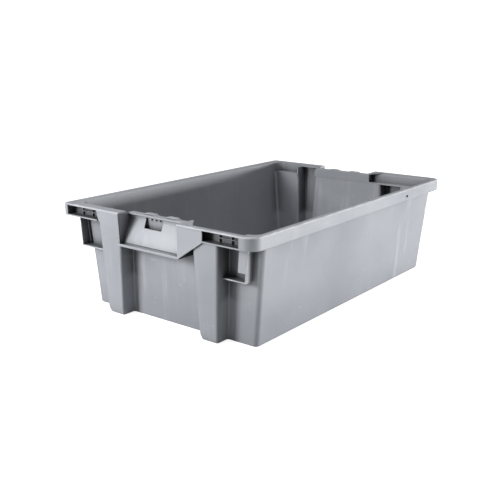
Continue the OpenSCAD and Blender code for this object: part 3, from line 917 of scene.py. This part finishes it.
def makeHoodLip(end, endName):
    z0 = height - hood["height"]
    xLow = halfLength - hood["panelLow"]
    t, lip, gutter = hood["thickness"], hood["lip"], hood["gutter"]
    profile = roundedLoop([
        (xLow - t, z0 - lip, 0.8), (halfLength, z0 - lip, 0.9), (halfLength, z0 + gutter, 0.7),
        (halfLength - lip, z0 + gutter, 0.7), (halfLength - lip, z0, 0.6), (xLow, z0, 0.6),
        (xLow, z0 + gutter, 0), (xLow - t, z0 + gutter, 0)], 3)
    bar = alongY(profile, -recess["right"] - hood["lowLap"], hoodSide)
    piece = makePiece(f"hoodLip{endName}", [turned(bar, 1, end)])
    finishPiece(piece, [f"hood_lip_{endName.lower()}"], hoodPlasticLit)


def makeCheeks(end, endName):
    z0 = height - hood["height"] - hood["lip"]
    flange = rim["flangeUnder"]
    # right: a plate that stands proud of the pillar, and its return into the recess
    y0, y1 = recess["right"], pocketIn(-1)
    face = [(y0, z0), (y1, rimLevel), (y1, flange + hair), (y0, flange + hair)]
    plate = alongX(roundedLoop([(y, z, 1.0 if i < 2 else 0) for i, (y, z) in enumerate(face)], 4),
                   halfLength - hood["cheek"], halfLength)
    outer = halfLength - hood["cheekSet"]
    middle = openingX + hood["cheekLap"]
    behind = endX(rimLevel) - wall + hood["cheekLap"]
    top = height - hood["cheekTop"]
    side = roundedLoop([(x, z, 0) for x, z in (
        (endX(z0) - sink, z0), (outer, z0), (outer, flange), (middle, flange), (middle, top),
        (behind, top), (behind, rimLevel), (endX(rimLevel), rimLevel))], 2)
    back = alongY(side, y0, y0 + hood["thickness"])
    right = makePiece(f"hoodCheekRight{endName}", [turned(plate, -1, end), turned(back, -1, end)])

    def seam(a, b):
        # edges where the cheek meets the rim
        return all(abs(p.z - flange) < rim["near"] or p.z > flange for p in (a, b))

    roundEdges(right, hood["cheekRound"], 2, 50, seam)
    finishPiece(right, [f"hood_cheek_right_{endName.lower()}"], hoodPlasticLit)
    # left: the pillar's face runs out to the rim over a faint crease
    y1 = pocketIn(1)
    crease = hood["crease"]
    corners = [(recessSide(z0), z0, pillarX(z0) + crease), (y1, rimLevel, pillarX(rimLevel) + crease),
               (y1, flange, halfLength), (recessSide(flange), flange, halfLength)]
    inner = [Vector((pillarX(z) - 1.0, y, z)) for y, z, x in corners]
    outer = [Vector((x, y, z)) for y, z, x in corners]
    left = makePiece(f"hoodCheekLeft{endName}", [turned(loft([inner, outer]), 1, end)])
    roundEdges(left, hood["edgeRound"], 2, 50, seam)
    finishPiece(left, [f"hood_cheek_left_{endName.lower()}"], bodyPlastic)


makeTub()
makeRim()
makeLedges()
makeCornerBoxes()
for end, endName in ((1, "Back"), (-1, "Front")):
    makeRecessRim(end, endName)
    makeHoodPanel(end, endName)
    makeHoodLip(end, endName)
    makeCheeks(end, endName)
print("hand hoods made")


studio = {
    "floorSize": 12.0,
    "floorColour": (0.6, 0.605, 0.61), "floorGlow": 0.85, "floorRoughness": 0.6,
    "world": 0.36, "backdrop": 1.05,
    "keyPlace": (-1.2, 0.5, 0.5), "keySize": (0.36, 0.36), "keyPower": 17,
    "sidePlace": (1.8, -2.9, 0.18), "sideSize": (1.2, 0.3), "sidePower": 168,
    "topPlace": (-0.2, 0.0, 1.9), "topSize": (0.4, 0.4), "topPower": 20,
}
camera = {
    "place": (-1.0650, -0.7889, height * mm + 0.2503),
    "heading": 0.661,      # radians from +X towards +Y
    "dip": 0.268,          # radians below the horizon
    "lens": 53.57,
}


def makeFloor():
    half = studio["floorSize"] / 2 / mm
    loop = [(-half, -half), (half, -half), (half, half), (-half, half)]
    floor = makePiece("studioFloor", [(lift(loop, cadLow.z / mm), [(0, 1, 2, 3)])])
    material = bpy.data.materials.new("paleFloor")
    material.use_nodes = True
    shader = material.node_tree.nodes["Principled BSDF"]
    shader.inputs["Base Color"].default_value = (*studio["floorColour"], 1)
    shader.inputs["Roughness"].default_value = studio["floorRoughness"]
    shader.inputs["Emission Color"].default_value = (1, 1, 1, 1)
    seen = addNode(material.node_tree, "ShaderNodeLightPath").outputs["Is Camera Ray"]
    glow = ramp(material.node_tree, seen, 0.0, 1.0, 0.0, studio["floorGlow"])
    material.node_tree.links.new(glow, shader.inputs["Emission Strength"])
    floor.data.materials.append(material)


def makeLamp(name, place, size, power):
    lamp = bpy.data.lights.new(name, "AREA")
    lamp.shape = "RECTANGLE"
    lamp.size, lamp.size_y = size
    lamp.energy = power
    holder = bpy.data.objects.new(name, lamp)
    holder.location = place
    aim = Vector((0, 0, height * mm / 2)) - Vector(place)
    holder.rotation_mode = "QUATERNION"
    holder.rotation_quaternion = aim.to_track_quat("-Z", "Y")
    bpy.context.scene.collection.objects.link(holder)


def makeCamera():
    data = bpy.data.cameras.new("camera")
    data.sensor_width = 36.0
    data.lens = camera["lens"]
    holder = bpy.data.objects.new("camera", data)
    bpy.context.scene.collection.objects.link(holder)
    heading, dip = camera["heading"], camera["dip"]
    level = math.cos(dip)
    ahead = Vector((level * math.cos(heading), level * math.sin(heading), -math.sin(dip)))
    holder.location = camera["place"]
    holder.rotation_mode = "QUATERNION"
    holder.rotation_quaternion = ahead.to_track_quat("-Z", "Y")
    bpy.context.scene.camera = holder


def makeWorld():
    # a white backdrop that only lights the crate a little
    world = bpy.data.worlds.new("studio")
    world.use_nodes = True
    tree = world.node_tree
    seen = addNode(tree, "ShaderNodeLightPath").outputs["Is Camera Ray"]
    strength = ramp(tree, seen, 0.0, 1.0, studio["world"], studio["backdrop"])
    tree.nodes["Background"].inputs["Color"].default_value = (1, 1, 1, 1)
    tree.links.new(strength, tree.nodes["Background"].inputs["Strength"])
    return world


makeFloor()
for lampName in ("key", "side", "top"):
    place, size = studio[f"{lampName}Place"], studio[f"{lampName}Size"]
    makeLamp(f"{lampName}Softbox", place, size, studio[f"{lampName}Power"])
bpy.context.scene.world = makeWorld()
bpy.context.scene.view_settings.view_transform = "Standard"
makeCamera()
print("studio made")
